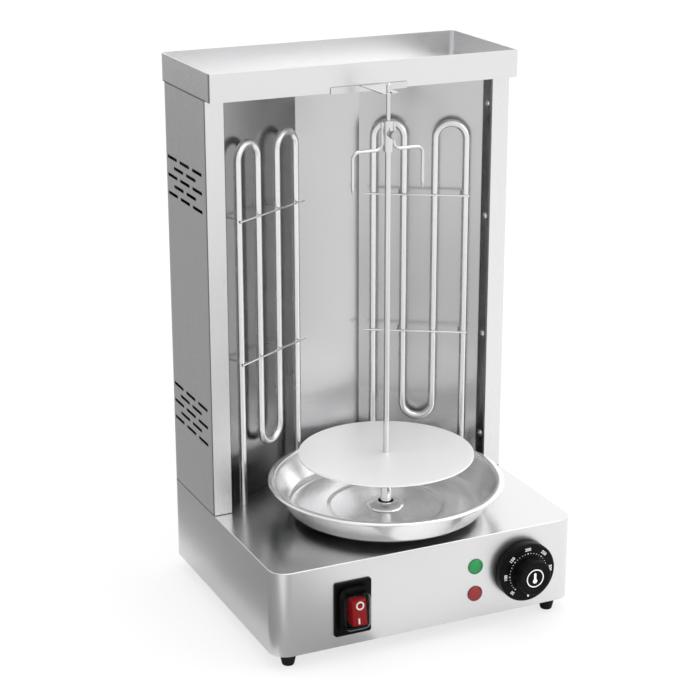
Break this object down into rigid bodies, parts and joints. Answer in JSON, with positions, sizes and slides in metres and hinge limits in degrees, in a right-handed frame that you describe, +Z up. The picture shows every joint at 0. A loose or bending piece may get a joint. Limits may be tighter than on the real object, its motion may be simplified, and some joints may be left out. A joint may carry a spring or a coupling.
{
  "type": "vertical rotisserie grill",
  "caption": "Counter-top vertical grill with a turning spit on a disc, a drip pan, tubular heaters in front of a folded reflector, a dial and a rocker switch.",
  "frame": {"origin": "on the surface the feet stand on, in the middle of the outline", "axes": "+Z up, the front with its switch and dial faces -Y, +X to the viewer's right"},
  "size_m": [0.33, 0.319, 0.5575],
  "materials": {
    "steel_shell": "satin",
    "steel_polished": "polished",
    "zinc_steel": "zinc plated",
    "heater_tube": "bright",
    "chrome": "polished",
    "brass": "satin",
    "black_plastic": "satin",
    "black_rubber": "matt",
    "white_plastic": "satin",
    "gear_plastic": "matt",
    "ceramic": "matt",
    "red_plastic": "gloss",
    "green_lens": "translucent",
    "red_lens": "translucent",
    "clear_plastic": "clear",
    "enamelled_copper": "gloss",
    "rotor_magnet": "matt"
  },
  "bodies": {
    "housing": {"base_shell": "steel_shell", "base_plate": "zinc_steel", "feet": "black_rubber", "foot_screws": "zinc_steel", "foot_nuts": "zinc_steel", "tower_shell": "steel_shell", "reflector": "steel_polished", "reflector_screws": "chrome", "angle_brackets": "zinc_steel", "angle_screws": "zinc_steel", "tray_band": "steel_shell", "tray_front_panel": "steel_shell", "tray_floor": "steel_shell", "top_bracket": "steel_polished", "heater_left": "heater_tube", "heater_right": "heater_tube", "heater_bushes": "brass", "heater_insulators": "ceramic", "heater_terminals": "zinc_steel", "heater_supports": "chrome", "shaft_seal": "black_rubber", "gearbox_cover": "zinc_steel", "motor_studs": "zinc_steel", "motor_nuts": "zinc_steel", "gear_plate": "zinc_steel", "motor_can": "zinc_steel", "motor_coil": "enamelled_copper", "gear_arbors": "steel_polished", "thermostat_body": "ceramic", "thermostat_screws": "zinc_steel", "thermostat_capillary": "brass", "thermostat_bulb": "brass", "bulb_clips": "zinc_steel", "switch_frame": "black_plastic", "switch_boot": "clear_plastic", "switch_terminals": "brass", "green_lamp_lens": "green_lens", "red_lamp_lens": "red_lens", "lamp_holders": "white_plastic", "terminal_block": "white_plastic", "terminal_screws": "brass", "earth_stud": "brass", "leads": "white_plastic", "cord_gland": "black_plastic", "gland_nut": "black_plastic"},
    "drive": {"drive_socket": "steel_polished", "output_gear": "steel_polished"},
    "idler_1": {"idler_gear_1": "gear_plastic"},
    "idler_2": {"idler_gear_2": "gear_plastic"},
    "rotor": {"motor_rotor": "rotor_magnet"},
    "spit": {"spit_rod": "steel_polished", "cross_pin": "steel_polished", "spit_disc": "steel_polished", "disc_hub": "steel_polished"},
    "fork": {"spit_fork": "steel_polished"},
    "fork_screw": {"fork_thumb_screw": "chrome"},
    "pan": {"drip_pan": "steel_polished"},
    "dial": {"thermostat_knob": "black_plastic", "thermostat_shaft": "steel_polished"},
    "rocker_lever": {"rocker": "red_plastic"}
  },
  "joints": [
    {"name": "drive_spin", "type": "hinge", "parent": "housing", "child": "drive", "pos_m": [0, -0.0325, 0.104], "axis": [0, 0, 1], "continuous": true},
    {"name": "idler_2_spin", "type": "hinge", "parent": "housing", "child": "idler_2", "pos_m": [-0.00493, -0.01382, 0.09], "axis": [0, 0, 1], "continuous": true},
    {"name": "idler_1_spin", "type": "hinge", "parent": "housing", "child": "idler_1", "pos_m": [0.00756, -0.00641, 0.09], "axis": [0, 0, 1], "continuous": true},
    {"name": "rotor_spin", "type": "hinge", "parent": "housing", "child": "rotor", "pos_m": [0, -0.0195, 0.07], "axis": [0, 0, 1], "continuous": true},
    {"name": "spit_lift", "type": "slide", "parent": "drive", "child": "spit", "axis": [0, 0, 1], "range_m": [0, 0.02]},
    {"name": "fork_slide", "type": "slide", "parent": "spit", "child": "fork", "axis": [0, 0, 1], "range_m": [-0.25, 0.005]},
    {"name": "fork_screw_turn", "type": "hinge", "parent": "fork", "child": "fork_screw", "pos_m": [0, -0.0325, 0.496], "axis": [0, -1, 0], "range_deg": [0, 360]},
    {"name": "pan_lift", "type": "slide", "parent": "housing", "child": "pan", "axis": [0, 0, 1], "range_m": [0, 0.012]},
    {"name": "dial_turn", "type": "hinge", "parent": "housing", "child": "dial", "pos_m": [0.1045, -0.1315, 0.06], "axis": [0, 1, 0], "range_deg": [-79, 180]},
    {"name": "rocker_tip", "type": "hinge", "parent": "housing", "child": "rocker_lever", "pos_m": [-0.084, -0.1335, 0.056], "axis": [1, 0, 0], "range_deg": [0, 12]}
  ],
  "couplings": [
    {"joint": "idler_2_spin", "follows": "drive_spin", "ratio": -3},
    {"joint": "idler_1_spin", "follows": "drive_spin", "ratio": 9},
    {"joint": "rotor_spin", "follows": "drive_spin", "ratio": -36}
  ]
}
